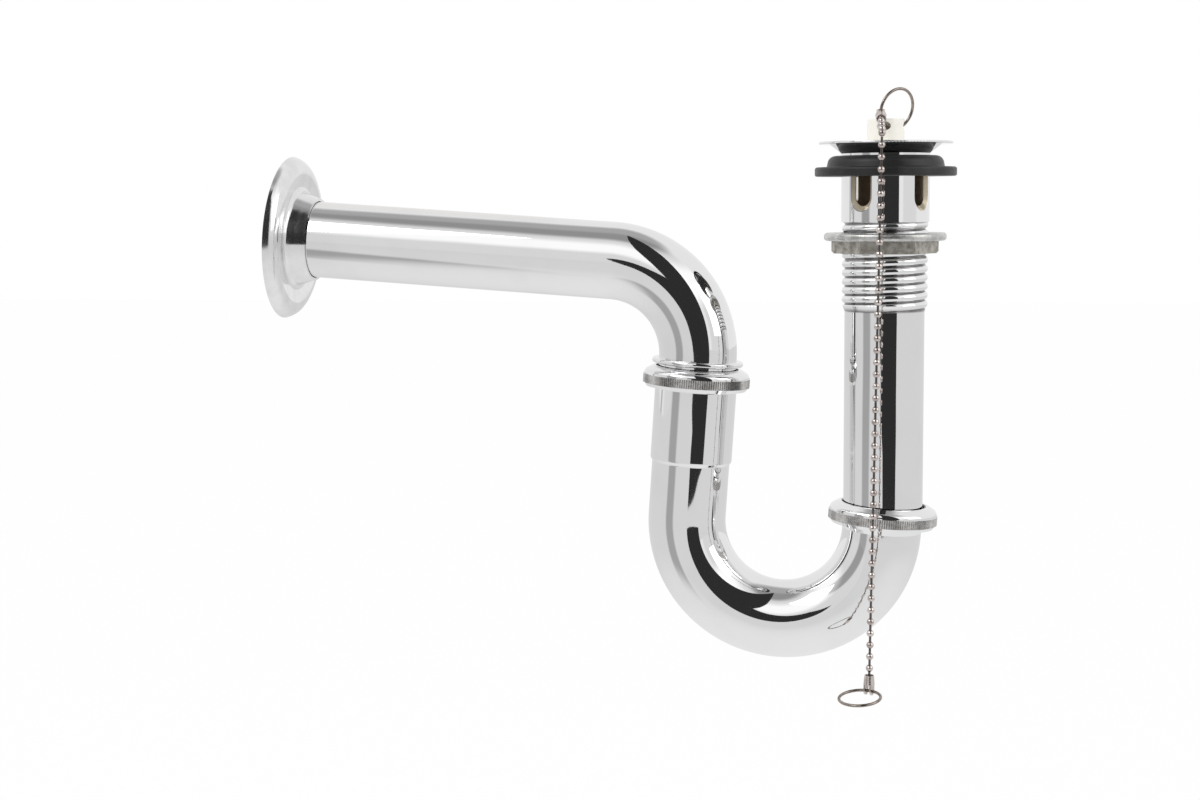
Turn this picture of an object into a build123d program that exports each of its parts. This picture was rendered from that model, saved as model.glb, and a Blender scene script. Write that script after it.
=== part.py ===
from build123d import *
from math import cos, radians, sin, sqrt, tan
import os

# Basin trap: a flanged waste with its plug and chain, a tail pipe, a U-shaped bend and an arm to the wall.
# Millimetres, +Z up. The origin is on the waste's axis, level with the underside of the flange's brim,
# which is where the waste sits on the basin. The bend lies in the XZ plane and its arm runs towards -X.

# Waste body
FLANGE_D = 53.4
BRIM_T = 1.0
CONE_D = 44.6
CONE_DEPTH = 3.7
DISH_LEDGE = 0.8
WASTE_D = 35.2
WASTE_WALL = 2.0
WASTE_LENGTH = 31.0
SPIGOT_LENGTH = 8.0
SPIGOT_WALL = 1.3
SLOT_COUNT = 4
SLOT_WIDTH = 7.0
SLOT_LENGTH = 16.0
SLOT_BEVEL = 2.2
SLOT_BEVEL_DEPTH = 1.8
SLOT_FOOT = 6.4
SLOT_TURN = -31.0
GRATE_BAR = 2.0
GRATE_DEPTH = 2.5
GRATE_DROP = 2.6

# Seal under the basin, washer and lock nut
SEAL_D = 56.5
SEAL_BRIM_T = 3.7
SEAL_DOME_D = 47.0
SEAL_CROWN_D = 45.2
SEAL_CROWN_ROUND = 3.2
SEAL_DOME_T = 4.5
SEAL_DROP = 0.9
WASHER_D = 48.9
WASHER_T = 3.2
WASHER_LEVEL = 35.3
LOCK_NUT_D = 42.8
LOCK_NUT_T = 5.0
LOCK_NUT_CHAMFER = 0.9
LOCK_NUT_TURN = -54.0

# Tail pipe
TAIL_D = 32.0
TAIL_WALL = 1.2
TAIL_DEPTH = 3.2
THREAD_D = 34.4
THREAD_PITCH = 3.55
THREAD_LENGTH = 36.4
THREAD_RIDGE = 3.3

# Trap: its place under the basin and its tubes
TRAP_DROP = 149.9
TRAP_LEAN = 4.0
BEND_R = 40.1
TUBE_D = 32.0
TUBE_WALL = 0.8
SOCKET_D = 33.6
SOCKET_THREAD_D = 34.9
SOCKET_THREAD_T = 1.9
INLET_SOCKET_H = 5.0
OUTLET_SOCKET_H = 54.4
SWAGE_LEVEL = 21.6
SWAGE_T = 1.3

# Slip nuts with the washer and seal inside them
NUT_WALL = 2.95
NUT_FOOT_BEVEL = 1.1
NUT_H = 8.6
NUT_LIP_D = 34.2
NUT_LIP_T = 1.6
NUT_CROWN_D = 36.6
NUT_CROWN_H = 3.5
KNURL_H = 3.6
KNURL_DEPTH = 0.4
KNURL_TEETH = 144
NUT_LIFT = 3.0
RUBBER_D = 37.0
RUBBER_H = 4.0
SLIP_WASHER_T = 1.0

# Arm to the wall
ELBOW_R = 37.9
ARM_REACH = 178.0
ARM_SETBACK = 0.6
COLLAR_D = 37.4
COLLAR_T = 2.2
COLLAR_GAP = 1.15
WALL_FLANGE_D = 68.3
WALL_FLANGE_RIM_H = 5.6
WALL_FLANGE_RIM_IN = 2.35
WALL_FLANGE_VALLEY_D = 40.4
WALL_FLANGE_VALLEY_H = 4.0
WALL_FLANGE_NECK_D = 34.4
WALL_FLANGE_H = 12.3
SHEET_T = 0.9

# Plug and its ring
PLUG_STEM_D = 14.8
PLUG_STEM_H = 9.0
PLUG_T = 4.6
RING_D = 17.5
WIRE_D = 1.2
RING_HOLE_H = 6.0
RING_HOLE_OFFSET = 4.6
RING_YAW = 44.0
RING_LEAN = 15.0
RING_HOOK = 195.0

# Ball chain with a clip at each end and a ring at the far end
BALL_D = 2.9
BALL_PITCH = 4.67
LINK_D = 0.95
LEAD_BALLS = 5
UPPER_BALLS = 22
LOWER_BALLS = 24
CHAIN_OUT = 31.2
CHAIN_TOP = 2.6
CHAIN_LEAN = 0.88
CLIP_REACH = 4.4
CLIP_CUP_D = 4.5
CLIP_MOUTH_D = 3.8
CLIP_CUP_H = 4.0
CLIP_FLOOR_T = 0.55
CLIP_CHEEK_T = 0.6
CLIP_CHEEK_GAP = 1.9
CLIP_EYE_D = 3.4
CLIP_HOLE_D = 2.1
END_RING_YAW = 23.0
END_RING_DIP = 8.6

# Clearances
FIT = 0.05
SLIDE_FIT = 0.1
LOOSE_FIT = 0.25
PLUG_FIT = 0.25
LEAN_FIT = 0.15
SEAT_GAP = 0.05

# Radii and levels that several pieces share
WASTE_R = WASTE_D / 2
WASTE_BORE_R = WASTE_R - WASTE_WALL
TAIL_R = TAIL_D / 2
TAIL_BORE_R = TAIL_R - TAIL_WALL
TUBE_R = TUBE_D / 2
TUBE_BORE_R = TUBE_R - TUBE_WALL
SOCKET_THREAD_R = SOCKET_THREAD_D / 2
NUT_THREAD_R = SOCKET_THREAD_R + SLIDE_FIT
NUT_FOOT_D = 2 * (NUT_THREAD_R + NUT_WALL)
NUT_D = NUT_FOOT_D + 2 * (NUT_FOOT_BEVEL + KNURL_DEPTH)
CONE_SLOPE = (CONE_D - WASTE_D) / 2 / CONE_DEPTH
DISH_R = CONE_D / 2 - DISH_LEDGE
DISH_FOOT = BRIM_T - (DISH_R - WASTE_BORE_R) / CONE_SLOPE
PACKING_H = RUBBER_H + SLIP_WASHER_T + NUT_LIP_T + 3 * SEAT_GAP
INLET_LIP = INLET_SOCKET_H + PACKING_H
OUTLET_LIP = OUTLET_SOCKET_H + PACKING_H
COLLAR_LEVEL = OUTLET_LIP + COLLAR_GAP
ELBOW_LEVEL = COLLAR_LEVEL + COLLAR_T
ARM_LEVEL = ELBOW_LEVEL + ELBOW_R
PIVOT_LEVEL = INLET_SOCKET_H + SEAT_GAP + RUBBER_H / 2
LEG_SPACING = 2 * BEND_R

# The trap's own frame: its zero level is where the bend begins, and it leans about the inlet seal
TRAP = Pos(0, 0, -TRAP_DROP) * Rot(0, TRAP_LEAN, 0) * Pos(0, 0, -PIVOT_LEVEL)
OUTLET_LEG = TRAP * Pos(-LEG_SPACING, 0, 0)
ARM_END = OUTLET_LEG * Pos(-ARM_REACH, 0, ARM_LEVEL) * Rot(0, 90, 0)


def turned(*corners):
    """A solid turned about Z. Each corner is (radius, height), with a rounding where it has one."""
    points = [corner[:2] for corner in corners]
    rounds = [corner[2] if len(corner) > 2 else 0 for corner in corners]
    outline = FilletPolyline(*points, radius=rounds, close=True)
    return revolve(Plane.XZ * make_face(outline), Axis.Z)


def tube(outer_r, inner_r, low, high):
    return turned((inner_r, low), (outer_r, low), (outer_r, high), (inner_r, high))


def lean_room(reach):
    """How far the leaning tail pipe strays from the trap's axis, this far from the seal."""
    return reach * tan(radians(TRAP_LEAN)) + TAIL_R * (1 / cos(radians(TRAP_LEAN)) - 1) + LEAN_FIT


# Waste body

def overflow_slot():
    """One slot's cutter, along +X: a straight slot with a bevel that widens it at the surface."""
    foot = SLOT_FOOT - WASTE_LENGTH

    def section(radius, grow):
        plane = Plane(origin=(radius, 0, foot + SLOT_LENGTH / 2), x_dir=(0, 0, 1), z_dir=(1, 0, 0))
        return plane * SlotOverall(SLOT_LENGTH + 2 * grow, SLOT_WIDTH + 2 * grow)

    straight = extrude(section(WASTE_BORE_R / 2, 0), WASTE_R)
    bevel = loft([section(WASTE_R - SLOT_BEVEL_DEPTH, 0), section(WASTE_R, SLOT_BEVEL)])
    return straight + bevel


def waste_body():
    spigot_r = TAIL_BORE_R - FIT
    spigot_bore = spigot_r - SPIGOT_WALL
    throat = -WASTE_LENGTH + (WASTE_BORE_R - spigot_bore)
    shell = turned(
        (FLANGE_D / 2, 0, BRIM_T * 0.4),
        (FLANGE_D / 2, BRIM_T, BRIM_T * 0.4),
        (DISH_R, BRIM_T),
        (WASTE_BORE_R, DISH_FOOT),
        (WASTE_BORE_R, throat),
        (spigot_bore, -WASTE_LENGTH),
        (spigot_bore, -WASTE_LENGTH - SPIGOT_LENGTH),
        (spigot_r, -WASTE_LENGTH - SPIGOT_LENGTH),
        (spigot_r, -WASTE_LENGTH),
        (WASTE_R, -WASTE_LENGTH),
        (WASTE_R, -CONE_DEPTH),
        (CONE_D / 2, 0),
    )
    for number in range(SLOT_COUNT):
        shell -= Rot(0, 0, SLOT_TURN + number * 360 / SLOT_COUNT) * overflow_slot()
    bar_length = 2 * WASTE_BORE_R + WASTE_WALL
    bar = Pos(0, 0, DISH_FOOT - GRATE_DROP) * Box(bar_length, GRATE_BAR, GRATE_DEPTH)
    half_step = 180 / SLOT_COUNT
    for turn in (SLOT_TURN + half_step, SLOT_TURN + half_step + 90):
        shell += Rot(0, 0, turn) * bar
    return shell


# Seal, washer and lock nut under the basin

def waste_seal():
    bore = WASTE_R + SLIDE_FIT
    top = -CONE_DEPTH - SEAL_DROP
    shoulder = top - SEAL_DOME_T
    foot = shoulder - SEAL_BRIM_T
    return turned(
        (bore, top),
        (SEAL_CROWN_D / 2, top, SEAL_CROWN_ROUND),
        (SEAL_DOME_D / 2, shoulder, 0.4),
        (SEAL_D / 2, shoulder, 1.0),
        (SEAL_D / 2, foot, 0.8),
        (bore, foot),
    )


def backing_washer():
    bore = THREAD_D / 2 + LOOSE_FIT
    rounding = WASHER_T * 0.42
    low = -WASHER_LEVEL - WASHER_T
    return turned(
        (bore, low),
        (WASHER_D / 2, low, rounding),
        (WASHER_D / 2, -WASHER_LEVEL, rounding),
        (bore, -WASHER_LEVEL),
    )


def lock_nut():
    top = -WASHER_LEVEL - WASHER_T - SEAT_GAP
    low = top - LOCK_NUT_T
    corner_r = LOCK_NUT_D / 2
    blank = turned(
        (THREAD_D / 2 + SLIDE_FIT, low),
        (corner_r - LOCK_NUT_CHAMFER, low),
        (corner_r, low + LOCK_NUT_CHAMFER),
        (corner_r, top),
        (THREAD_D / 2 + SLIDE_FIT, top),
    )
    hexagon = Pos(0, 0, low) * extrude(RegularPolygon(corner_r, 6, rotation=LOCK_NUT_TURN), LOCK_NUT_T)
    return blank & hexagon


# Tail pipe

def thread_ridge():
    """The rolled thread: a rounded ridge along a helix, trimmed square at the seam and tapered below."""
    root = TAIL_R - TAIL_WALL / 2
    half = THREAD_RIDGE / 2
    start = -WASTE_LENGTH - THREAD_LENGTH - THREAD_PITCH
    height = THREAD_LENGTH + 2 * THREAD_PITCH
    crest = ThreePointArc((root, -half), (THREAD_D / 2, 0), (root, half))
    section = Plane.XZ * make_face(Curve() + crest + Line((root, half), (root, -half)))
    coil = sweep(Pos(0, 0, start) * section, Helix(THREAD_PITCH, height, TAIL_R, (0, 0, start)), is_frenet=True)
    inside = TAIL_BORE_R - TAIL_WALL / 4
    tip = -WASTE_LENGTH - THREAD_LENGTH
    room = turned(
        (inside, -WASTE_LENGTH),
        (THREAD_D / 2 + FIT, -WASTE_LENGTH),
        (THREAD_D / 2 + FIT, tip + THREAD_PITCH),
        (root - FIT, tip - THREAD_PITCH / 4),
        (inside, tip - THREAD_PITCH / 4),
    )
    return coil & room


def tail_pipe():
    return tube(TAIL_R, TAIL_BORE_R, -TRAP_DROP - TAIL_DEPTH, -WASTE_LENGTH) + thread_ridge()


# Slip joints: a nut, a washer and a rubber ring, stacked on the socket whose top is at height 0

def slip_nut():
    lip = PACKING_H
    lip_under = lip - NUT_LIP_T
    foot = lip - NUT_H
    band_top = lip - NUT_CROWN_H
    band_low = band_top - KNURL_H
    band_r = NUT_D / 2 - KNURL_DEPTH
    chamber_r = RUBBER_D / 2 + SLIDE_FIT
    ring = turned(
        (NUT_LIP_D / 2, lip_under),
        (NUT_LIP_D / 2, lip),
        (NUT_CROWN_D / 2, lip, 0.5),
        (band_r, lip - NUT_CROWN_H * 0.55, 2.0),
        (band_r, band_low, 0.6),
        (NUT_FOOT_D / 2, foot),
        (NUT_THREAD_R, foot),
        (NUT_THREAD_R, 0),
        (chamber_r, 0),
        (chamber_r, lip_under),
    )
    teeth = []
    for number in range(2 * KNURL_TEETH):
        radius = NUT_D / 2 if number % 2 else band_r
        angle = number * 180 / KNURL_TEETH
        teeth.append((radius * cos(radians(angle)), radius * sin(radians(angle))))
    band = extrude(make_face(Polyline(*teeth, close=True)), KNURL_H)
    band -= Cylinder(band_r - KNURL_DEPTH, 3 * KNURL_H)
    return ring + Pos(0, 0, band_low) * band


def rubber_ring(bore_r):
    return tube(RUBBER_D / 2, bore_r, SEAT_GAP, SEAT_GAP + RUBBER_H)


def slip_washer(bore_r):
    low = 2 * SEAT_GAP + RUBBER_H
    return tube(RUBBER_D / 2, bore_r, low, low + SLIP_WASHER_T)


# Bend and arm

def curved_tube(radius, sweep_angle):
    """A quarter or half turn of tube, from the origin upwards in the XZ plane and over towards -X."""
    section = Circle(TUBE_R) - Circle(TUBE_BORE_R)
    return revolve(section, Axis((-radius, 0, 0), (0, -1, 0)), sweep_angle)


def trap_bend():
    inlet_bore = TAIL_R + lean_room(TAIL_DEPTH)
    inlet_floor = PIVOT_LEVEL - TAIL_DEPTH - 2 * LEAN_FIT - TAIL_R * sin(radians(TRAP_LEAN)) * 0.4
    flare_top = INLET_SOCKET_H - SOCKET_THREAD_T
    outlet_bore = TUBE_R + SLIDE_FIT
    inlet = turned(
        (TUBE_BORE_R, 0),
        (TUBE_R, 0),
        (TUBE_R, flare_top * 0.3),
        (SOCKET_THREAD_R, flare_top),
        (SOCKET_THREAD_R, INLET_SOCKET_H),
        (inlet_bore, INLET_SOCKET_H),
        (inlet_bore, inlet_floor),
        (TUBE_BORE_R, inlet_floor * 0.35),
    )
    thread_low = OUTLET_SOCKET_H - SOCKET_THREAD_T
    outlet = turned(
        (TUBE_BORE_R, 0),
        (TUBE_R, 0),
        (TUBE_R, SWAGE_LEVEL, 1.0),
        (SOCKET_D / 2, SWAGE_LEVEL + SWAGE_T, 1.0),
        (SOCKET_D / 2, thread_low - SWAGE_T / 2),
        (SOCKET_THREAD_R, thread_low),
        (SOCKET_THREAD_R, OUTLET_SOCKET_H),
        (outlet_bore, OUTLET_SOCKET_H),
        (outlet_bore, SWAGE_LEVEL + SWAGE_T),
        (TUBE_BORE_R, SWAGE_LEVEL),
    )
    under = Rot(180, 0, 0) * curved_tube(BEND_R, 180)
    return under + inlet + Pos(-LEG_SPACING, 0, 0) * outlet


def outlet_arm():
    foot = SWAGE_LEVEL + SWAGE_T + SEAT_GAP
    leg = tube(TUBE_R, TUBE_BORE_R, foot, ELBOW_LEVEL)
    elbow = Pos(0, 0, ELBOW_LEVEL) * curved_tube(ELBOW_R, 90)
    run = tube(TUBE_R, TUBE_BORE_R, ELBOW_R, ARM_REACH - ARM_SETBACK)
    return leg + elbow + Pos(0, 0, ARM_LEVEL) * Rot(0, -90, 0) * run


def arm_collar():
    return turned(
        (TUBE_R + FIT, COLLAR_LEVEL),
        (COLLAR_D / 2, COLLAR_LEVEL, COLLAR_T * 0.42),
        (COLLAR_D / 2, ELBOW_LEVEL, COLLAR_T * 0.42),
        (TUBE_R + FIT, ELBOW_LEVEL),
    )


def wall_flange():
    """A spun sheet rosette with its back edge at height 0 and its neck upwards."""
    bore = TUBE_R + LOOSE_FIT
    rim_r = WALL_FLANGE_D / 2
    crest_r = rim_r - WALL_FLANGE_RIM_IN
    dome = WALL_FLANGE_RIM_H * 1.1
    return turned(
        (rim_r, 0),
        (crest_r, WALL_FLANGE_RIM_H, dome),
        (WALL_FLANGE_VALLEY_D / 2, WALL_FLANGE_VALLEY_H, 2.2),
        (WALL_FLANGE_NECK_D / 2, WALL_FLANGE_H),
        (bore, WALL_FLANGE_H),
        (bore, WALL_FLANGE_VALLEY_H - SHEET_T),
        (crest_r - SHEET_T, WALL_FLANGE_RIM_H - SHEET_T, dome - 1.5 * SHEET_T),
        (rim_r - SHEET_T, 0),
    )


# Plug, rings and chain

ring_r = (RING_D - WIRE_D) / 2
half_chord = sqrt((PLUG_STEM_D / 2) ** 2 - RING_HOLE_OFFSET ** 2)
ring_sag = ring_r - sqrt(ring_r ** 2 - half_chord ** 2)
ring_across = Vector(cos(radians(RING_YAW)), sin(radians(RING_YAW)), 0)
ring_front = Vector(sin(radians(RING_YAW)), -cos(radians(RING_YAW)), 0)
ring_up = ring_front * sin(radians(RING_LEAN)) + Vector(0, 0, cos(radians(RING_LEAN)))
ring_hole = ring_front * RING_HOLE_OFFSET + Vector(0, 0, BRIM_T + RING_HOLE_H)
ring_centre = ring_hole + ring_up * (ring_r - ring_sag / 2)
hook_angle = radians(RING_HOOK)
hook = ring_centre + (ring_across * cos(hook_angle) + ring_up * sin(hook_angle)) * ring_r
hook_tangent = ring_up * cos(hook_angle) - ring_across * sin(hook_angle)

# The chain leads from the hook out over the brim, then drops beside the seal's edge
lead_line = (Vector(0, -CHAIN_OUT, BRIM_T + CHAIN_TOP) - hook).normalized()
lead_start = hook + lead_line * CLIP_REACH
drop_start = lead_start + lead_line * (LEAD_BALLS - 1) * BALL_PITCH
drop_line = Vector(-sin(radians(CHAIN_LEAN)), 0, -cos(radians(CHAIN_LEAN)))
lower_start = drop_start + drop_line * UPPER_BALLS * BALL_PITCH
last_ball = lower_start + drop_line * LOWER_BALLS * BALL_PITCH
end_eye = last_ball + drop_line * CLIP_REACH
end_tangent = Vector(cos(radians(END_RING_YAW)), -sin(radians(END_RING_YAW)), 0)
end_front = Vector(-sin(radians(END_RING_YAW)), -cos(radians(END_RING_YAW)), 0)
end_down = end_front * cos(radians(END_RING_DIP)) - Vector(0, 0, sin(radians(END_RING_DIP)))


def plug():
    """A tapered plug that fills the waste's dish, with a stem that carries the ring's hole."""
    seat_r = DISH_R - PLUG_FIT
    stem_r = PLUG_STEM_D / 2
    body = turned(
        (0, BRIM_T - PLUG_T),
        (seat_r - PLUG_T * CONE_SLOPE, BRIM_T - PLUG_T),
        (seat_r, BRIM_T),
        (stem_r, BRIM_T),
        (stem_r, BRIM_T + PLUG_STEM_H, 0.5),
        (0, BRIM_T + PLUG_STEM_H),
    )
    hole_r = ring_sag / 2 + WIRE_D / 2 + LOOSE_FIT
    hole = extrude(Plane(origin=ring_hole, z_dir=ring_across) * Circle(hole_r), PLUG_STEM_D, both=True)
    return body - hole


def wire_ring(centre, across, up):
    return Plane(origin=centre, x_dir=across, z_dir=across.cross(up)) * Torus(ring_r, WIRE_D / 2)


def balls(count, first_link):
    """A run of balls and links along +Z. With a first link, it starts beside a ball at the origin."""
    ball_r = BALL_D / 2
    link_r = LINK_D / 2
    cap = sqrt(ball_r ** 2 - link_r ** 2)
    first = 1 if first_link else 0
    low = ball_r + SLIDE_FIT if first_link else -ball_r
    outline = Curve()
    here = (0, low)
    if first_link:
        outline += Line(here, (link_r, low))
        here = (link_r, low)
    for number in range(first, first + count):
        centre = number * BALL_PITCH
        if number > 0:
            outline += Line(here, (link_r, centre - cap))
            here = (link_r, centre - cap)
        last = number == first + count - 1
        leave = (0, centre + ball_r) if last else (link_r, centre + cap)
        outline += ThreePointArc(here, (ball_r, centre), leave)
        here = leave
    outline += Line(here, (0, low))
    return revolve(Plane.XZ * make_face(outline), Axis.Z)


def run_along(start, line, piece):
    return Plane(origin=start, z_dir=line) * piece


def clip():
    """A sheet clip: a cup round the chain's end ball, and two cheeks with an eye for the ring at the origin."""
    floor = CLIP_REACH - BALL_D / 2 - 3 * FIT
    mouth = floor + CLIP_CUP_H - CLIP_FLOOR_T
    cup = turned(
        (0, floor - CLIP_FLOOR_T),
        (CLIP_CUP_D / 2, floor - CLIP_FLOOR_T, 0.3),
        (CLIP_MOUTH_D / 2, mouth),
        (BALL_D / 2 + 3 * FIT, mouth),
        (BALL_D / 2 + 3 * FIT, floor),
        (0, floor),
    )
    length = floor - CLIP_FLOOR_T / 2
    outline = Circle(CLIP_EYE_D / 2) + Pos(0, length / 2) * Rectangle(CLIP_EYE_D, length)
    outline -= Circle(CLIP_HOLE_D / 2)
    for side in (-1, 1):
        inner = side * (CLIP_CHEEK_GAP + CLIP_CHEEK_T) / 2 - CLIP_CHEEK_T / 2
        cheek_plane = Plane(origin=(inner, 0, 0), x_dir=(0, 1, 0), z_dir=(1, 0, 0))
        cup += extrude(cheek_plane * outline, CLIP_CHEEK_T)
    return cup


def clip_at(eye, tangent, line):
    return Plane(origin=eye, x_dir=tangent, z_dir=line) * clip()


# Assembly

INLET_TOP = TRAP * Pos(0, 0, INLET_SOCKET_H)
OUTLET_TOP = OUTLET_LEG * Pos(0, 0, OUTLET_SOCKET_H)
rubber_bore = TAIL_R + lean_room(RUBBER_H / 2 + NUT_LIFT)
inlet_washer_bore = TAIL_R + lean_room(INLET_LIP - NUT_LIP_T - PIVOT_LEVEL + NUT_LIFT)

nodes = {
    "waste_body": waste_body(),
    "waste_seal": waste_seal(),
    "backing_washer": backing_washer(),
    "lock_nut": lock_nut(),
    "tail_pipe": tail_pipe(),
    "inlet_slip_nut": INLET_TOP * slip_nut(),
    "inlet_slip_washer": INLET_TOP * slip_washer(inlet_washer_bore),
    "inlet_seal": INLET_TOP * rubber_ring(rubber_bore),
    "trap_bend": TRAP * trap_bend(),
    "outlet_slip_nut": OUTLET_TOP * slip_nut(),
    "outlet_slip_washer": OUTLET_TOP * slip_washer(TUBE_R + SLIDE_FIT),
    "outlet_seal": OUTLET_TOP * rubber_ring(TUBE_R + SLIDE_FIT),
    "arm_collar": OUTLET_LEG * arm_collar(),
    "outlet_arm": OUTLET_LEG * outlet_arm(),
    "wall_flange": ARM_END * wall_flange(),
    "plug": plug(),
    "plug_ring": wire_ring(ring_centre, ring_across, ring_up),
    "chain_upper_coupling": clip_at(hook, hook_tangent, lead_line),
    "chain_lead": run_along(lead_start, lead_line, balls(LEAD_BALLS, False)),
    "chain_upper": run_along(drop_start, drop_line, balls(UPPER_BALLS, True)),
    "chain_lower": run_along(lower_start, drop_line, balls(LOWER_BALLS, True)),
    "chain_lower_coupling": clip_at(end_eye, end_tangent, drop_line * -1),
    "chain_end_ring": wire_ring(end_eye + end_down * ring_r, end_tangent, end_down),
}

os.makedirs("parts", exist_ok=True)
for name, piece in nodes.items():
    export_step(piece, f"parts/{name}.step")
    print(name, round(piece.volume, 1))
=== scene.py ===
# %% [markdown]
# # A chromed basin trap
# Under a washbasin, the waste drops through a plated tail pipe into a U-shaped bend, which holds a little
# water as a seal against smells, and leaves through an arm to the wall. The shapes could be drawn here, but
# they come from a packed model, which has every piece at its real size. This lesson dresses that model: it
# sets up a bright studio, writes the finishes as shader maths, and gives every piece its own finish.

# %% The packed model
import math

import bpy
from mathutils import Matrix, Vector


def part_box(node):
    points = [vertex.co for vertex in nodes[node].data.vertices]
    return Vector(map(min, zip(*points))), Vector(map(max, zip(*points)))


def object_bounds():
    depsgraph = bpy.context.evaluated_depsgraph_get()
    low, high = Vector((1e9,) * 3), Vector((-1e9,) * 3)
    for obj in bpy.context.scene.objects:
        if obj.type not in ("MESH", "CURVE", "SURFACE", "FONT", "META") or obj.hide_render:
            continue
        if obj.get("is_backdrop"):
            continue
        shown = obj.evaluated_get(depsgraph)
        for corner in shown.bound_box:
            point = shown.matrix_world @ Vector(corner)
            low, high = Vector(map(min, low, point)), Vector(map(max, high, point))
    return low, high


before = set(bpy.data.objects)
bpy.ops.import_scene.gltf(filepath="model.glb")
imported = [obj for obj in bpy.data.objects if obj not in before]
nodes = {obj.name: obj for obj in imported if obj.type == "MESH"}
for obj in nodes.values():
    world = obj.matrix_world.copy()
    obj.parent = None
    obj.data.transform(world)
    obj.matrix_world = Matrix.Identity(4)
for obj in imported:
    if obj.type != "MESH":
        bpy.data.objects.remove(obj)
cad_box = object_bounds()
print("pieces:", len(nodes), "box:", [[round(v, 4) for v in corner] for corner in cad_box])

# %% [markdown]
# ## The camera
# A catalogue picture of chrome is taken from some way off with a long lens, so that tubes stay nearly
# parallel. The camera could be aimed with a constraint, but writing its three axes out keeps the slight
# roll exact.

# %% The camera's axes
CAMERA_AZIMUTH = math.radians(10.81)
CAMERA_ELEVATION = math.radians(5.78)
CAMERA_ROLL = math.radians(-0.34)

back = Vector((
    math.sin(CAMERA_AZIMUTH) * math.cos(CAMERA_ELEVATION),
    -math.cos(CAMERA_AZIMUTH) * math.cos(CAMERA_ELEVATION),
    math.sin(CAMERA_ELEVATION),
))
right = back.cross(Vector((0, 0, -1))).normalized()
up = back.cross(right)
rolled_right = right * math.cos(CAMERA_ROLL) + up * math.sin(CAMERA_ROLL)
rolled_up = up * math.cos(CAMERA_ROLL) - right * math.sin(CAMERA_ROLL)
camera_axes = Matrix((rolled_right, rolled_up, back)).transposed()
print("the camera looks along", [round(-v, 3) for v in back])

# %% The camera's lens and place
CAMERA_PLACE = Vector((0.03835, -0.81408, -0.02061))
IMAGE_WIDTH = 1200
FOCAL_PIXELS = 2000
SENSOR_WIDTH = 36
NEAR_CLIP = 0.01

lens = bpy.data.cameras.new("camera")
lens.sensor_width = SENSOR_WIDTH
lens.lens = FOCAL_PIXELS / IMAGE_WIDTH * SENSOR_WIDTH
lens.clip_start = NEAR_CLIP
camera = bpy.data.objects.new("camera", lens)
bpy.context.collection.objects.link(camera)
camera.matrix_world = Matrix.Translation(CAMERA_PLACE) @ camera_axes.to_4x4()
scene = bpy.context.scene
scene.camera = camera
print("lens:", round(lens.lens, 1), "mm")

# %% [markdown]
# ## Sockets that do arithmetic
# A finish is a small sum: a mask times a colour, one minus a wear map, and so on. Such sums could be linked
# node by node, but the links hide them, so a small class wraps a socket and lets Python's operators add the
# Math nodes. Every other node comes from one method that takes its type, its settings and what goes into
# its sockets.

# %% The socket class
class Wire:
    """An output socket that takes part in Python arithmetic."""

    def __init__(self, socket):
        self.socket = socket
        self.tree = socket.id_data

    @staticmethod
    def node(tree, kind, settings=None, inputs=None, out=0):
        made = tree.nodes.new(kind)
        for name, value in (settings or {}).items():
            setattr(made, name, value)
        for name, value in (inputs or {}).items():
            if isinstance(value, Wire):
                tree.links.new(value.socket, made.inputs[name])
            else:
                made.inputs[name].default_value = value
        return Wire(made.outputs[out]) if len(made.outputs) else made

    def math(self, operation, *values):
        inputs = dict(enumerate((self,) + values))
        return Wire.node(self.tree, "ShaderNodeMath", {"operation": operation}, inputs)

    def __add__(self, other):
        return self.math("ADD", other)

    def __sub__(self, other):
        return self.math("SUBTRACT", other)

    def __rsub__(self, other):
        return -self + other

    def __mul__(self, other):
        return self.math("MULTIPLY", other)

    def __neg__(self):
        return self * -1.0

    __radd__ = __add__
    __rmul__ = __mul__

    def step(self, low, high):
        """0 below low, 1 above high, and a smooth rise between them."""
        inputs = {"Value": self, "From Min": low, "From Max": high}
        return Wire.node(self.tree, "ShaderNodeMapRange", {"interpolation_type": "SMOOTHSTEP"}, inputs)

    def between(self, low, high, soft):
        """1 from low to high and 0 outside, with edges that are soft on both sides."""
        return self.step(low - soft, low + soft) * (1 - self.step(high - soft, high + soft))

    def blend(self, first, second):
        """The colour first where this is 0, and second where it is 1."""
        inputs = {0: self, 6: first, 7: second}
        return Wire.node(self.tree, "ShaderNodeMix", {"data_type": "RGBA"}, inputs, out=2)


print("wire methods:", [name for name in vars(Wire) if callable(vars(Wire)[name])])

# %% [markdown]
# ## The studio
# Chrome has no colour of its own: it shows the room. A plain white room would make it look like paper, so a
# studio hangs soft boxes and stands black flags beside the lens, and their reflections draw the light and
# dark lines down each tube. All of them could be meshes, but most are far enough away to be patches of
# direction, so the world paints them by height and by bearing.

# %% Directions in the room
def split(vector):
    """The X, Y and Z of a vector, as three wires."""
    return [Wire.node(vector.tree, "ShaderNodeSeparateXYZ", inputs={0: vector}, out=axis) for axis in "XYZ"]


def bearing_of(east, north):
    """Degrees from -180 to 180, with 0 towards -Y, the camera's side."""
    return east.math("ARCTAN2", -north) * math.degrees(1)


scene.view_settings.view_transform = "Standard"
world = bpy.data.worlds.new("white_room")
scene.world = world
world.use_nodes = True
room = world.node_tree
room.nodes.clear()
east, north, height = split(Wire.node(room, "ShaderNodeTexCoord", out="Generated"))
bearing = bearing_of(east, north)
print("direction nodes:", len(room.nodes))

# %% [markdown]
# ### Light and dark in the room
# A soft box is a lit box with a cloth front. It hangs over the lens, under a dark ceiling, and grey stands
# are to the left. A painted panorama could show them, but here each is a band of heights or bearings with
# soft edges, added to the level of the wall, because a band is easy to move and needs no image.

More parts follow.
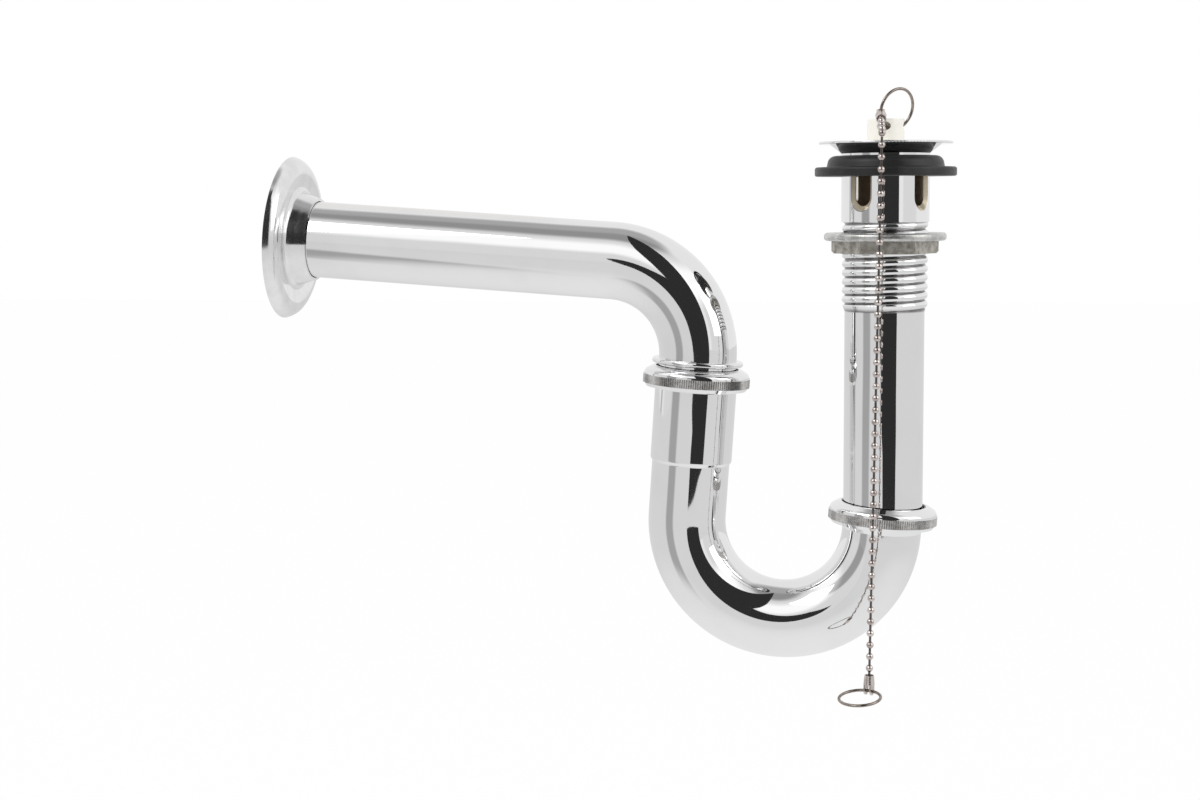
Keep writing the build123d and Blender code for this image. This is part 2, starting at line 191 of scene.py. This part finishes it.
# %% Soft box and ceiling
WALL = 0.79
FRONT_EDGE = 0.1
SOFT_BOX = 0.36
SOFT_BOX_HEIGHTS = (0.40, 0.78)
SOFT_BOX_EDGE = 0.10
CEILING = -0.47
CEILING_EDGE = (0.86, 0.95)

front = (-north).step(-FRONT_EDGE, FRONT_EDGE)
soft_box = height.between(*SOFT_BOX_HEIGHTS, SOFT_BOX_EDGE) * front * SOFT_BOX
ceiling = height.step(*CEILING_EDGE) * CEILING
print("ceiling level:", round(WALL + CEILING, 2), "soft box level:", round(WALL + SOFT_BOX, 2))

# %% Stands and walls
STAND_SHADE = -0.42
STAND_BEARINGS = (-60, -38)
SIDE_STAND_BEARINGS = (-104, -98)
SIDE_STAND_EDGE = 2
STAND_TOP = (0.45, 0.7)
BRIGHT_STRIP = 0.14
BRIGHT_STRIP_BEARINGS = (38, 50)
BEARING_EDGE = 3
BACK_WALL = 0.12

near_stand = bearing.between(*STAND_BEARINGS, BEARING_EDGE)
side_stand = bearing.between(*SIDE_STAND_BEARINGS, SIDE_STAND_EDGE)
bright_strip = bearing.between(*BRIGHT_STRIP_BEARINGS, BEARING_EDGE) * BRIGHT_STRIP
back_wall = (1 - front) * BACK_WALL
stands = ((near_stand + side_stand) * STAND_SHADE + bright_strip) * (1 - height.step(*STAND_TOP))
mirror_view = WALL + soft_box + ceiling + stands + back_wall
print("stand level:", round(WALL + STAND_SHADE, 2), "back wall level:", round(WALL + BACK_WALL, 2))

# %% [markdown]
# ### White world
# A catalogue picture has a plain white ground. Stronger lamps could bleach a backdrop, but they would
# bleach the object too, so the kind of ray picks the level instead: the camera sees white, reflections see
# the room, and all other light comes from an even white that is a little lower.

# %% White world
EVEN_LIGHT = 0.9


def ray(tree, kind):
    return Wire.node(tree, "ShaderNodeLightPath", out=kind)


seen = ray(room, "Is Camera Ray")
mirrored = ray(room, "Is Glossy Ray")
lit = EVEN_LIGHT + mirrored * (mirror_view - EVEN_LIGHT)
sky = Wire.node(room, "ShaderNodeBackground", inputs={"Color": seen + (1 - seen) * lit, "Strength": 1.0})
Wire.node(room, "ShaderNodeOutputWorld", inputs={"Surface": sky})
print("world nodes:", len(room.nodes))

# %% [markdown]
# ### Pale floor
# The trap hangs over a sheet of white paper, some way below it. The paper could be lit until it is white,
# but here it glows to the camera and keeps a small share of plain paper, which holds a trace of shadow. In
# reflections it gets dimmer away from the trap and at the foot of the stands, which shades the tubes' lower
# sides.

# %% The sheet
FLOOR_DROP = 0.16
FLOOR_LEVEL = cad_box[0][2] - FLOOR_DROP
FLOOR_HALF = 6.0


def mesh_object(name, points, faces):
    mesh = bpy.data.meshes.new(name)
    mesh.from_pydata(points, [], faces)
    made = bpy.data.objects.new(name, mesh)
    bpy.context.collection.objects.link(made)
    return made


sheet_corners = ((-1, -1), (1, -1), (1, 1), (-1, 1))
floor_points = [(x * FLOOR_HALF, y * FLOOR_HALF, FLOOR_LEVEL) for x, y in sheet_corners]
floor = mesh_object("floor", floor_points, [(0, 1, 2, 3)])
print("floor at", round(FLOOR_LEVEL, 3))

# %% The sheet's paper
PAPER = (0.9, 0.9, 0.9, 1)
GLOW_SHARE = 0.95
NEAR_LEVEL = 0.95
FAR_SHADE = 0.2
FAR_REACH = (0.2, 0.8)
FOOT_SHADE = 0.36
FOOT_REACH = (0.5, 0.7)


def blank_finish(name):
    finish = bpy.data.materials.new(name)
    finish.use_nodes = True
    finish.node_tree.nodes.clear()
    return finish, finish.node_tree


def place_on(tree):
    return Wire.node(tree, "ShaderNodeTexCoord", out="Object")


floor_paint, tree = blank_finish("pale_floor")
mirrored = ray(tree, "Is Glossy Ray")
shown = (ray(tree, "Is Camera Ray") + mirrored + ray(tree, "Is Transmission Ray")).math("MINIMUM", 1.0)
spot = place_on(tree)
reach = Wire.node(tree, "ShaderNodeVectorMath", {"operation": "LENGTH"}, {0: spot}, out="Value")
east, north, _ = split(spot)
stand_foot = bearing_of(east, north).between(*STAND_BEARINGS, BEARING_EDGE) * reach.step(*FOOT_REACH)
dimmed = NEAR_LEVEL - reach.step(*FAR_REACH) * FAR_SHADE - stand_foot * FOOT_SHADE
paper = Wire.node(tree, "ShaderNodeBsdfDiffuse", inputs={"Color": PAPER})
glow_level = 1 - mirrored * (1 - dimmed)
glow = Wire.node(tree, "ShaderNodeEmission", inputs={"Color": glow_level, "Strength": 1.0})
cover = Wire.node(tree, "ShaderNodeMixShader", inputs={0: shown * GLOW_SHARE, 1: paper, 2: glow})
Wire.node(tree, "ShaderNodeOutputMaterial", inputs={"Surface": cover})
floor.data.materials.append(floor_paint)
floor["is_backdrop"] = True
print("paper nodes:", len(tree.nodes))

# %% [markdown]
# ### Black flag
# A flag is a black cloth on a stand, and round tubes mirror it as the dark streaks that make chrome look
# deep. A dark band in the world would be mirrored as if from far away, so its streak would be nearly the
# same all along a straight tube. A cloth near the trap gives streaks that widen and end, so this one is a
# mesh, built in rows from the floor up, and only reflections see it.

# %% The flag's cloth
FLAG_REACH = 1.05
FLAG_LIFT = 0.047
FLAG_RIGHT = 38.5
# Each row has its share of the reach, its level, and the bearing of its left edge.
FLAG_ROWS = (
    (1.0, FLOOR_LEVEL + FLAG_LIFT, 3.0),
    (1.0, -0.26, 1.0),
    (1.0, -0.19, -7.0),
    (1.0, -0.09, -16.0),
    (1.0, 0.10, -16.0),
    (1.0, 0.26, 3.0),
    (1.0, 1.1, 3.0),
    (0.55, 1.9, 3.0),
    (0.06, 2.2, 3.0),
)

edge_points = []
for share, level, flag_left in FLAG_ROWS:
    away = FLAG_REACH * share
    for side in (flag_left, FLAG_RIGHT):
        angle = math.radians(side)
        edge_points.append((away * math.sin(angle), -away * math.cos(angle), level))
flag_faces = [(row, row + 1, row + 3, row + 2) for row in range(0, 2 * len(FLAG_ROWS) - 2, 2)]
flag = mesh_object("black_flag", edge_points, flag_faces)
print("flag faces:", len(flag.data.polygons))

# %% The flag's black
BLACK_GLOW = 0.03

flag_cloth, tree = blank_finish("flag_cloth")
cloth = Wire.node(tree, "ShaderNodeEmission", inputs={"Color": (1, 1, 1, 1), "Strength": BLACK_GLOW})
Wire.node(tree, "ShaderNodeOutputMaterial", inputs={"Surface": cloth})
flag.data.materials.append(flag_cloth)
flag.visible_camera = False
flag.visible_diffuse = False
flag.visible_shadow = False
flag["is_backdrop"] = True
print("flag level:", BLACK_GLOW)

# %% [markdown]
# ### Soft lamps
# The even white lights every side alike, which leaves rubber and dull metal flat. A sun lamp would shape
# them with hard shadows. Two large square lamps, a stronger one at the upper left and a weaker one at the
# right, do it softly, as lamps behind cloth do.

# %% Key and fill
def soft_lamp(name, place, aim, size, power):
    light = bpy.data.lights.new(name, "AREA")
    light.shape = "SQUARE"
    light.size = size
    light.energy = power
    lamp = bpy.data.objects.new(name, light)
    bpy.context.collection.objects.link(lamp)
    lamp.location = place
    lamp.rotation_euler = (Vector(aim) - Vector(place)).to_track_quat("-Z", "Y").to_euler()
    return lamp


middle = (Vector(cad_box[0]) + Vector(cad_box[1])) / 2
key = soft_lamp("key", place=(-0.9, -1.0, 1.0), aim=middle, size=0.8, power=6)
fill = soft_lamp("fill", place=(1.3, -0.3, 0.5), aim=middle, size=0.9, power=3)
print("lamps:", key.name, fill.name)

# %% [markdown]
# ## Finishes
# Each finish starts from a place on the object. Pieces sit at the origin with their place in the mesh, so
# the object coordinate is the place in metres, and a pattern's scale is given in repeats per metre. Images
# could be wrapped round the pieces, but a pattern worked out from the place needs no unwrapping.

# %% Grain, relief and the closing shader
def noise(tree, scale, detail=2.0, roughness=0.5):
    inputs = {"Vector": place_on(tree), "Scale": scale, "Detail": detail, "Roughness": roughness}
    return Wire.node(tree, "ShaderNodeTexNoise", inputs=inputs)


def raised(tree, amount, distance):
    inputs = {"Height": amount, "Distance": distance, "Strength": 1.0}
    return Wire.node(tree, "ShaderNodeBump", inputs=inputs)


def close_finish(tree, **inputs):
    """A Principled shader: base_color goes into Base Color, and so on."""
    names = {word.replace("_", " ").title().replace("Ior", "IOR"): value for word, value in inputs.items()}
    surface = Wire.node(tree, "ShaderNodeBsdfPrincipled", inputs=names)
    Wire.node(tree, "ShaderNodeOutputMaterial", inputs={"Surface": surface})


print("helpers:", [helper.__name__ for helper in (noise, raised, close_finish)])

# %% [markdown]
# ### Plated tube
# The tubes are bent and polished before plating, so the mirror is slightly wavy, and handling leaves a
# faint bloom. A tube could have one colour and one roughness, but real plate is never that even. Waves
# come from a weak bump of large noise, and the bloom is a little more roughness in patches.

# %% Chrome plate
CHROME = (0.84, 0.84, 0.845, 1)
CHROME_DIM = (0.74, 0.74, 0.75, 1)
POLISH = 0.03
BLOOM_SCALE = 38
BLOOM_SPREAD = (0.45, 0.75)
SPECK_SCALE = 900
SPECK_SPREAD = (0.72, 0.8)
WAVE_SCALE = 26
WAVE_HEIGHT = 0.0004


def chrome_sum(tree):
    """Colour, roughness and normal of plated tube."""
    bloom = noise(tree, BLOOM_SCALE, detail=3.0).step(*BLOOM_SPREAD)
    specks = noise(tree, SPECK_SCALE, detail=1.0).step(*SPECK_SPREAD)
    wave = noise(tree, WAVE_SCALE, detail=1.0)
    colour = (bloom * 0.35).blend(CHROME, CHROME_DIM)
    roughness = POLISH + bloom * 0.03 + specks * 0.05
    return colour, roughness, raised(tree, wave, WAVE_HEIGHT)


chrome, tree = blank_finish("chrome_plate")
colour, roughness, normal = chrome_sum(tree)
close_finish(tree, base_color=colour, roughness=roughness, metallic=1.0, normal=normal)
print("chrome nodes:", len(tree.nodes))

# %% [markdown]
# ### Threaded tail pipe
# The roots of the thread are painted dark: a painted shade for the valleys, where shade and dark
# reflections gather. A map of where surfaces come close together could find the roots, but the pipe is
# round, so its axis finds them more simply: a root is where the surface is closer to the axis than the
# crests are, between the thread's two ends.

# %% Threaded plate
THREAD_ENDS = (-0.0668, -0.0311)
THREAD_EDGE = 0.0004
THREAD_ROOT = 0.0160
THREAD_CREST = 0.0168
# painted shade: the dark colour painted into the roots of the thread
ROOT_SHADE = (0.16, 0.15, 0.15, 1)
ROOT_SHADE_SCALE = 300


def from_axis(tree):
    """The distance from the waste's axis, and the height."""
    east, north, height = split(place_on(tree))
    return (east * east + north * north).math("SQRT"), height


thread_plate, tree = blank_finish("thread_plate")
colour, roughness, normal = chrome_sum(tree)
spread, height = from_axis(tree)
threaded = height.between(*THREAD_ENDS, THREAD_EDGE)
root = (1 - spread.step(THREAD_ROOT, THREAD_CREST)) * threaded
# painted shade: the roots are darkened, with a little noise, to stand for the shade in the valleys
root_shade = root * (0.55 + noise(tree, ROOT_SHADE_SCALE, detail=3.0) * 0.6)
shaded_thread = root_shade.math("MINIMUM", 1.0).blend(colour, ROOT_SHADE)
close_finish(tree, base_color=shaded_thread, roughness=roughness + root * 0.2, metallic=1.0, normal=normal)
print("thread nodes:", len(tree.nodes))

# %% [markdown]
# ### Spun wall flange
# The wall flange is spun from thin sheet on a lathe, so it keeps faint rings from the tool and never gets
# as bright as the drawn tube. The rings could be cut into the mesh, but they are only a few microns deep,
# so they are a bump that follows the distance from the arm's axis.

# %% Along and away from the arm
LEAN = math.radians(4.0)
LEG_AXIS = (math.sin(LEAN), 0.0, math.cos(LEAN))
ARM_AXIS = (math.cos(LEAN), 0.0, -math.sin(LEAN))
SIDE_AXIS = (0.0, 1.0, 0.0)


def middle_of(node_name):
    low, high = (Vector(corner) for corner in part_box(node_name))
    return (low + high) / 2


def along(tree, axis, start):
    """The way along an axis from a starting point."""
    inputs = {0: place_on(tree), 1: axis}
    way = Wire.node(tree, "ShaderNodeVectorMath", {"operation": "DOT_PRODUCT"}, inputs, out="Value")
    return way - start.dot(Vector(axis))


flange_middle = middle_of("wall_flange")


def from_arm(tree):
    """The distance from the arm's axis."""
    across = along(tree, SIDE_AXIS, flange_middle)
    upward = along(tree, LEG_AXIS, flange_middle)
    return (across * across + upward * upward).math("SQRT")


print("flange middle:", [round(v, 4) for v in flange_middle])

# %% Spun plate
SPUN_HAZE = (0.70, 0.68, 0.67, 1)
SPUN_POLISH = 0.11
HAZE_SCALE = 130
HAZE_SPREAD = (0.3, 0.75)
RING_SCALE = 5200
RING_HEIGHT = 0.000004

spun_plate, tree = blank_finish("spun_plate")
colour, _, _ = chrome_sum(tree)
tool_rings = (from_arm(tree) * RING_SCALE + noise(tree, 60, detail=1.0) * 2).math("SINE")
haze = noise(tree, HAZE_SCALE, detail=4.0, roughness=0.6).step(*HAZE_SPREAD)
close_finish(
    tree,
    base_color=(haze * 0.5).blend(colour, SPUN_HAZE),
    roughness=SPUN_POLISH + haze * 0.07 + tool_rings * 0.015,
    metallic=1.0,
    normal=raised(tree, tool_rings, RING_HEIGHT),
)
print("spun nodes:", len(tree.nodes))

# %% [markdown]
# ### Outlet arm
# The arm is plated outside only, so its open end shows tarnished brass. A second piece could line the bore,
# but the distance from the arm's axis already tells the inside from the outside, up to where the elbow
# begins.

# %% Arm plate with a brass bore
BORE_EDGE = 0.0153
TUBE_EDGE = 0.0157
ELBOW_START = 0.10
ELBOW_END = 0.12
BRASS = (0.62, 0.52, 0.37, 1)
BRASS_DULL = (0.42, 0.33, 0.21, 1)
ARM_TARNISH_SCALE = 260

arm_plate, tree = blank_finish("arm_plate")
colour, roughness, normal = chrome_sum(tree)
inward = along(tree, ARM_AXIS, flange_middle)
bore = (1 - from_arm(tree).step(BORE_EDGE, TUBE_EDGE)) * (1 - inward.step(ELBOW_START, ELBOW_END))
brass = noise(tree, ARM_TARNISH_SCALE, detail=3.0).blend(BRASS_DULL, BRASS)
close_finish(
    tree,
    base_color=bore.blend(colour, brass),
    roughness=roughness + bore * 0.35,
    metallic=1 - bore * 0.6,
    normal=normal,
)
print("arm nodes:", len(tree.nodes))

# %% [markdown]
# ### Slip nuts
# A slip nut's shoulder is polished, but its milled band is left satin, because a buffing wheel can't reach
# into the teeth. The band's faces could have a finish of their own, but its place along the leaning leg,
# which is a dot product with the leg's axis, finds it on both nuts with one function.

# %% Milled nut plate
BAND_ENDS = (-0.0028, 0.0008)
BAND_EDGE = 0.0001
SATIN = (0.50, 0.48, 0.46, 1)
GRIME_SCALE = 700
GRIME_SPREAD = (0.35, 0.7)


def nut_finish(name, node_name):
    finish, tree = blank_finish(name)
    colour, roughness, normal = chrome_sum(tree)
    band = along(tree, LEG_AXIS, middle_of(node_name)).between(*BAND_ENDS, BAND_EDGE)
    grime = noise(tree, GRIME_SCALE).step(*GRIME_SPREAD)
    satin = (band * (0.45 + grime * 0.55)).blend(colour, SATIN)
    close_finish(tree, base_color=satin, roughness=roughness + band * 0.2, metallic=1.0, normal=normal)
    return finish


inlet_plate = nut_finish("milled_plate_inlet", "inlet_slip_nut")
outlet_plate = nut_finish("milled_plate_outlet", "outlet_slip_nut")
print("nut finishes:", inlet_plate.name, outlet_plate.name)

# %% [markdown]
# ### Waste body
# Plating is thin in the overflow slots, so their bevels and the bore inside show the warm brass underneath.
# Each slot's faces could be picked by hand, but the distance from the waste's axis tells the outside from
# the bevels and the bore in all the slots at once.

# %% Plated brass
BARREL_ENDS = (-0.0295, -0.0045)
BARREL_EDGE = 0.0003
SLOT_BEVEL = (0.01735, 0.01757)
WASTE_BORE = (0.0157, 0.0159)
BRASS_CLEAN = (0.80, 0.72, 0.58, 1)
BRASS_BROWN = (0.30, 0.22, 0.14, 1)
BRASS_BLACK = (0.16, 0.11, 0.07, 1)
WASTE_TARNISH_SCALE = 420

waste_plate, tree = blank_finish("plated_brass")
colour, roughness, normal = chrome_sum(tree)
spread, height = from_axis(tree)
barrel = height.between(*BARREL_ENDS, BARREL_EDGE)
bare = (1 - spread.step(*SLOT_BEVEL)) * barrel
bore = (1 - spread.step(*WASTE_BORE)) * barrel
tarnish = noise(tree, WASTE_TARNISH_SCALE, detail=3.0)
inside = bore.blend(tarnish.blend(BRASS, BRASS_CLEAN), tarnish.blend(BRASS_BLACK, BRASS_BROWN))
close_finish(
    tree,
    base_color=bare.blend(colour, inside),
    roughness=roughness + bare * 0.14 + bore * 0.25,
    metallic=1 - bare * 0.6,
    normal=normal,
)
print("waste finish nodes:", len(tree.nodes))

# %% [markdown]
# ### Lock nut and washer
# These sit out of sight under the basin, so they are left as cast and as pressed: dull, pitted and a little
# brown. The pits could be sculpted, but they are only about a millimetre across, so a bump of fine noise
# makes them, and larger noise makes the brown patches. One function does both pieces.

# %% Rough nut and dull washer
PATCH_SHARE = 0.25
PATCH_SPREAD = (0.35, 0.68)


def dull_metal(name, light, dark, rough, pit_scale, pit_depth):
    finish, tree = blank_finish(name)
    patches = noise(tree, pit_scale * PATCH_SHARE, detail=4.0, roughness=0.6)
    pits = noise(tree, pit_scale, detail=4.0, roughness=0.65)
    close_finish(
        tree,
        base_color=patches.step(*PATCH_SPREAD).blend(light, dark),
        roughness=rough + patches * 0.2,
        metallic=0.9,
        normal=raised(tree, pits, pit_depth),
    )
    return finish


rough_nut = dull_metal(
    "rough_nut", light=(0.52, 0.50, 0.46, 1), dark=(0.27, 0.25, 0.22, 1),
    rough=0.36, pit_scale=1500, pit_depth=0.00025,
)
dull_washer = dull_metal(
    "dull_washer", light=(0.66, 0.66, 0.65, 1), dark=(0.44, 0.435, 0.42, 1),
    rough=0.18, pit_scale=900, pit_depth=0.00006,
)
print("dull metals:", rough_nut.name, dull_washer.name)

# %% [markdown]
# ### Rubber and plastic
# The seals are black moulded rubber with a dusty bloom, the plug is ivory and a little glossier, and the
# friction washers are pale plastic. A shader with light inside the surface would suit thin pale rubber, but
# the plug is thick and looks solid, so plain colours, a dusty roughness and a fine skin are enough.

# %% Black and ivory rubber
DUST_SCALE = 240
DUST_SPREAD = (0.4, 0.8)


def rubber(name, light, dark, rough, grain, relief):
    finish, tree = blank_finish(name)
    dust = noise(tree, DUST_SCALE, detail=4.0, roughness=0.6).step(*DUST_SPREAD)
    close_finish(
        tree,
        base_color=dust.blend(dark, light),
        roughness=rough + dust * 0.12,
        normal=raised(tree, noise(tree, grain), relief),
        specular_ior_level=0.4,
    )
    return finish


black_rubber = rubber(
    "black_rubber", light=(0.024, 0.024, 0.026, 1), dark=(0.012, 0.012, 0.013, 1),
    rough=0.38, grain=2600, relief=0.00005,
)
ivory_rubber = rubber(
    "ivory_rubber", light=(0.94, 0.93, 0.88, 1), dark=(0.91, 0.89, 0.83, 1),
    rough=0.36, grain=700, relief=0.00001,
)
slip_plastic = rubber(
    "slip_plastic", light=(0.80, 0.80, 0.78, 1), dark=(0.74, 0.74, 0.72, 1),
    rough=0.45, grain=700, relief=0.00001,
)
print("rubbers:", black_rubber.name, ivory_rubber.name, slip_plastic.name)

# %% [markdown]
# ### Chain
# Ball chain is nickel plated and tumbled, not buffed, so it is warmer and softer than the chrome. The
# necks between the balls get a painted shade, a dark colour where the balls shade each other. A dark ring
# could be painted at each neck by counting along the chain, but the distance from the chain's own line
# finds every neck at once: the line runs through the middles of both hanging runs.

# %% The necks of the chain
NECK_DARK = 0.0005
NECK_UNSHADED = 0.0012

upper_middle = middle_of("chain_upper")
lower_middle = middle_of("chain_lower")
drift = (upper_middle.x - lower_middle.x) / (upper_middle.z - lower_middle.z)


def chain_neck(tree):
    """1 close to the chain's line, 0 on the round of a ball."""
    east, north, height = split(place_on(tree))
    sideways = east - lower_middle.x - (height - lower_middle.z) * drift
    forward = north - lower_middle.y
    from_line = (sideways * sideways + forward * forward).math("SQRT")
    return 1 - from_line.step(NECK_DARK, NECK_UNSHADED)


print("chain drift:", round(drift, 4))

# %% Warm nickel
# painted shade: the dark colour painted into the necks between the balls
NECK_SHADE = (0.07, 0.06, 0.055, 1)
STAIN_SCALE = 320
STAIN_SPREAD = (0.35, 0.75)
TUMBLE_SCALE = 2400
TUMBLE_HEIGHT = 0.00004


def nickel_finish(name, bright, stained):
    finish, tree = blank_finish(name)
    # painted shade: the necks between the balls are painted dark; the stains are the nickel's own
    neck = chain_neck(tree)
    stain = noise(tree, STAIN_SCALE, detail=3.0).step(*STAIN_SPREAD)
    close_finish(
        tree,
        base_color=(neck * 0.85).blend(stain.blend(bright, stained), NECK_SHADE),
        roughness=0.09 + stain * 0.1 + neck * 0.2,
        metallic=1.0,
        normal=raised(tree, noise(tree, TUMBLE_SCALE), TUMBLE_HEIGHT),
    )
    return finish


nickel = nickel_finish("warm_nickel", (0.68, 0.62, 0.59, 1), (0.38, 0.32, 0.30, 1))
ring_wire = nickel_finish("ring_wire", (0.36, 0.31, 0.275, 1), (0.16, 0.135, 0.12, 1))
print("chain finishes:", nickel.name, ring_wire.name)

# %% [markdown]
# ## A finish for each piece
# Each piece of the trap is plated, cast or moulded as a whole. A piece could carry several finishes in
# slots of its mesh, but the masks above already change a finish across a piece, so one slot is enough,
# and the table can be read at a glance.

# %% Give each piece its finish
FINISHES = {
    "waste_body": waste_plate,
    "waste_seal": black_rubber,
    "backing_washer": dull_washer,
    "lock_nut": rough_nut,
    "tail_pipe": thread_plate,
    "inlet_slip_nut": inlet_plate,
    "inlet_slip_washer": slip_plastic,
    "inlet_seal": black_rubber,
    "trap_bend": chrome,
    "outlet_slip_nut": outlet_plate,
    "outlet_slip_washer": slip_plastic,
    "outlet_seal": black_rubber,
    "arm_collar": chrome,
    "outlet_arm": arm_plate,
    "wall_flange": spun_plate,
    "plug": ivory_rubber,
    "plug_ring": ring_wire,
    "chain_upper_coupling": nickel,
    "chain_lead": nickel,
    "chain_upper": nickel,
    "chain_lower": nickel,
    "chain_lower_coupling": nickel,
    "chain_end_ring": ring_wire,
}
for name, finish in FINISHES.items():
    mesh = nodes[name].data
    mesh.materials.clear()
    mesh.materials.append(finish)
print("finished:", len(FINISHES), "of", len(nodes))

# %% [markdown]
# ## The size
# A finish changes no shape, so the dressed trap should fill the same box as the packed model. Looking at a
# picture would miss a millimetre, so both boxes are measured and their largest difference is printed.

# %% Check the size and finish
visual_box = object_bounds()
change = max(abs(new - old) for pair in zip(visual_box, cad_box) for new, old in zip(*pair))
print("largest change of the box:", round(change, 6), "m")
